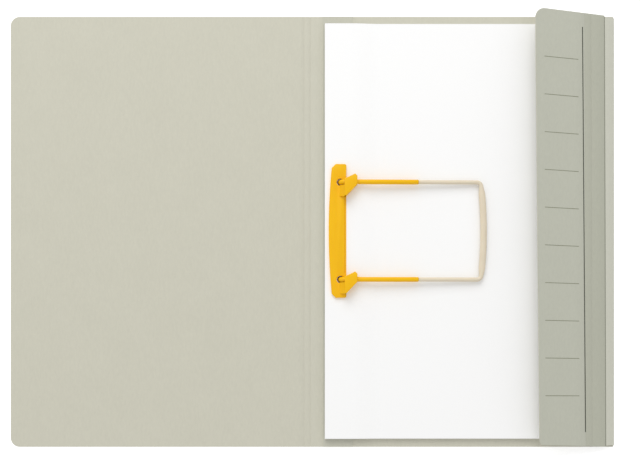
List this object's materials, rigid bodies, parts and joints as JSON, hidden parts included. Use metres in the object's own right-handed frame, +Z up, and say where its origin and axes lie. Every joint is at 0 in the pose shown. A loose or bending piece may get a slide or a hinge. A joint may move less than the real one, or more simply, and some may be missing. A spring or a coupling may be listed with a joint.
{
  "type": "flap folder",
  "caption": "Open card filing folder with a scored spine, a side flap on a gusset, and a tube clip with pressure bar and bow holding a punched paper stack.",
  "frame": {"origin": "middle of the open folder's footprint, on the surface it lies on", "axes": "+X across the open folder from the front cover to the flap, +Y up the page, +Z up from the surface"},
  "size_m": [0.5009, 0.358, 0.0218],
  "materials": {
    "cover_card": "smooth coated filing card",
    "flap_card": "smooth coated filing card, the outer face of the flap",
    "strip_card": "smooth coated filing card",
    "paper": "plain white copy paper",
    "yellow_plastic": "moulded flexible plastic with a soft sheen",
    "ivory_plastic": "moulded plastic with a soft sheen"
  },
  "bodies": {
    "back": {"back_cover": "cover_card", "filing_strip": "strip_card", "paper_stack": "paper", "clip_base": "yellow_plastic", "pressure_bar": "yellow_plastic"},
    "spine": {"spine": "cover_card"},
    "front": {"front_cover": "cover_card"},
    "flap": {"gusset": "flap_card", "flap": "flap_card"},
    "bow": {"bow": "ivory_plastic"}
  },
  "joints": [
    {"name": "spine_fold", "type": "hinge", "parent": "back", "child": "spine", "pos_m": [0.0067, 0, 0.0006], "axis": [0, 1, 0], "range_deg": [0, 90]},
    {"name": "cover_fold", "type": "hinge", "parent": "spine", "child": "front", "pos_m": [-0.012, 0, 0.0006], "axis": [0, 1, 0], "range_deg": [0, 90]},
    {"name": "flap_fold", "type": "hinge", "parent": "back", "child": "flap", "pos_m": [0.2505, 0, 0.0006], "axis": [0, 1, 0], "range_deg": [-8, 140]},
    {"name": "bow_slide", "type": "slide", "parent": "back", "child": "bow", "axis": [0.9995, 0, -0.0305], "range_m": [0, 0.024]}
  ]
}
